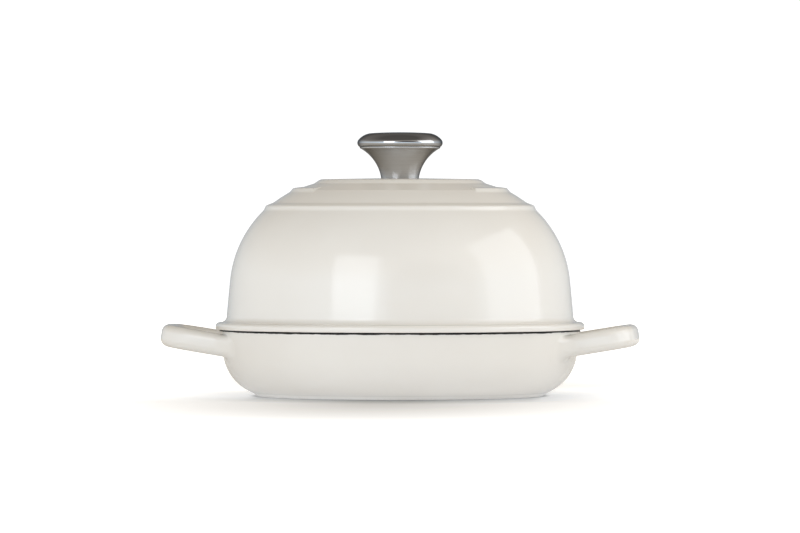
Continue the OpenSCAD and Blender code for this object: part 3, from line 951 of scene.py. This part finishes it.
def add_floor():
    """Pale floor with a painted shadow by the foot ring, and painted light of its own, which rises
    away from it.
    """
    mesh = bpy.data.meshes.new("floor")
    rim = [(*(FLOOR_R * unit(a)), 0) for a in range(0, 360, 3)]
    mesh.from_pydata(rim, [], [list(range(len(rim)))])
    floor = bpy.data.objects.new("floor", mesh)
    bpy.context.scene.collection.objects.link(floor)
    material, graph, shader = new_material("floor_paper")
    seen = graph.ray_is("Camera")
    scattered = graph.ray_is("Diffuse")
    # Painted shadow: for camera rays the floor's colour darkens towards the foot ring, and other
    # rays see it white
    away = graph.distance_from_middle((1, 1, 0))
    edge = graph.ramp(away, *RING_SHADOW_RAMP)

    shifted = graph.distance_from_middle((1, 1, 0), CONTACT_SHADOW_SHIFT)
    unshadowed = graph.math("MULTIPLY_ADD", edge, RING_SHADOW_SHARE, graph.ramp(shifted, *CONTACT_SHADOW_RAMP))
    unshadowed = graph.math("MAXIMUM", unshadowed, graph.math("SUBTRACT", 1.0, seen))

    # Painted light for the camera alone, rising away from the object and dimmed at the foot ring,
    # which draws the painted soft shadow round the object
    ovals = graph.distance_from_middle(GLOW_SCALE, GLOW_SHIFT)
    glow = graph.math("ADD", graph.ramp(ovals, *GLOW_RAMP), graph.ramp(away, *FAR_GLOW_RAMP))
    beside = graph.ramp(graph.distance_from_middle((1, 0, 0)), *BESIDE_RAMP)
    level = graph.ramp(graph.distance_from_middle((0, 1, 0), LEVEL_SHIFT), *LEVEL_RAMP)
    glow = graph.math("ADD", glow, graph.math("MULTIPLY", beside, level))
    dimmed = graph.math("MULTIPLY_ADD", edge, RING_SHADOW_GLOW_LOSS, 1 - RING_SHADOW_GLOW_LOSS)
    glow = graph.math("MULTIPLY", glow, dimmed)
    bounce = graph.ramp(away, *BOUNCE_RAMP)
    warmth = graph.mix_colours(scattered, (1, 1, 1), BOUNCE_WARMTH)

    graph.feed(shader.inputs["Base Color"], graph.mix_colours(unshadowed, FLOOR_PAINTED_SHADOW, FLOOR_WHITE))
    graph.feed(shader.inputs["Roughness"], FLOOR_ROUGHNESS)
    graph.feed(shader.inputs["Specular IOR Level"], 0.0)
    graph.feed(shader.inputs["Emission Color"], warmth)
    graph.feed(shader.inputs["Emission Strength"], graph.mix_values(seen, bounce, glow))
    floor.data.materials.append(material)


# Room. Each wall has its axis and side, and its brightness low down and higher up.
WALLS = {
    "front": ("Y", -1, 2.26, 0.70),
    "back": ("Y", 1, 0.41, 0.41),
    "left": ("X", -1, 1.32, 0.39),
    "right": ("X", 1, 1.40, 0.88),
}
CEILING = 0.16
BACKDROP = 1.1
# Colours: low at the front, low behind, and higher up as mirrored and as scattered light
LOW_FRONT_COLOUR = (0.85, 1.0, 1.17)
LOW_BACK_COLOUR = (0.91, 1.0, 1.09)
HIGH_MIRRORED_COLOUR = (1.06, 1.0, 0.94)
HIGH_SCATTERED_COLOUR = (1.24, 1.0, 0.66)
# Darker part of the front wall, between the two softboxes
GAP_BEARING = 22
GAP_DEPTH = 0.92
# Ramps over the height of a direction, over its Y, and over how well it faces the gap
RISE_RAMP = (0.15, 0.5, 0.0, 1.0)
OVERHEAD_RAMP = (0.55, 0.9, 0.0, 1.0)
BEHIND_RAMP = (-0.6, 0.2, 0.0, 1.0)
GAP_RAMP = (0.80, 0.88, 0.0, GAP_DEPTH)
GAP_FOOT_RAMP = (0.08, 0.18, 0.0, 1.0)
GAP_TOP_RAMP = (0.48, 0.60, 1.0, 0.0)
# A little over 1, so that straight up and down divide by more than zero
FULL_SHARE = 1.0001


def add_world():
    """White behind the object, and round it a room with a bright front and a dark ceiling."""
    world = bpy.data.worlds.new("studio")
    bpy.context.scene.world = world
    world.use_nodes = True
    world.node_tree.nodes.clear()
    graph = Graph(world.node_tree)
    direction = graph.node("TexCoord").outputs["Generated"]
    split = graph.node("SeparateXYZ")
    graph.feed(split.inputs[0], direction)
    height = split.outputs["Z"]
    rise = graph.ramp(height, *RISE_RAMP)

    # Each wall's share of a direction, so that the shares of a level direction add up to 1
    level_share = graph.math("SUBTRACT", FULL_SHARE, graph.math("MULTIPLY", height, height))
    walls = 0.0
    for axis, sign, low, high in WALLS.values():
        side = graph.math("MAXIMUM", graph.math("MULTIPLY", split.outputs[axis], sign), 0.0)
        share = graph.math("DIVIDE", graph.math("MULTIPLY", side, side), level_share)
        wall = graph.math("MULTIPLY", share, graph.mix_values(rise, low, high))
        walls = graph.math("ADD", wall, walls)

    facing = graph.node("VectorMath", operation="DOT_PRODUCT")
    bearing = GAP_BEARING + CAMERA_BEARING
    graph.feed(facing.inputs[0], direction)
    graph.feed(facing.inputs[1], (sin(bearing), -cos(bearing), 0))
    gap = graph.ramp(facing.outputs["Value"], *GAP_RAMP)
    for ramp in (GAP_FOOT_RAMP, GAP_TOP_RAMP):
        gap = graph.math("MULTIPLY", gap, graph.ramp(height, *ramp))
    walls = graph.math("MULTIPLY", walls, graph.math("SUBTRACT", 1.0, gap))

    behind = graph.ramp(split.outputs["Y"], *BEHIND_RAMP)
    low_colour = graph.mix_colours(behind, LOW_FRONT_COLOUR, LOW_BACK_COLOUR)
    scattered = graph.ray_is("Diffuse")
    high_colour = graph.mix_colours(scattered, HIGH_MIRRORED_COLOUR, HIGH_SCATTERED_COLOUR)
    overhead = graph.ramp(height, *OVERHEAD_RAMP)
    room = graph.node("Background")
    graph.feed(room.inputs["Color"], graph.mix_colours(rise, low_colour, high_colour))
    graph.feed(room.inputs["Strength"], graph.mix_values(overhead, walls, CEILING))

    white = graph.node("Background")
    graph.feed(white.inputs["Color"], (1, 1, 1))
    graph.feed(white.inputs["Strength"], BACKDROP)
    mix = graph.node("MixShader")
    for socket, value in zip(
        mix.inputs, (graph.ray_is("Camera"), room.outputs[0], white.outputs[0])
    ):
        graph.feed(socket, value)
    graph.feed(graph.node("OutputWorld").inputs[0], mix.outputs[0])


def main():
    scene = bpy.context.scene
    scene.view_settings.view_transform = "Standard"
    scene.view_settings.look = "None"
    add_camera()
    dress()
    add_floor()
    add_world()
    add_lights()


main()
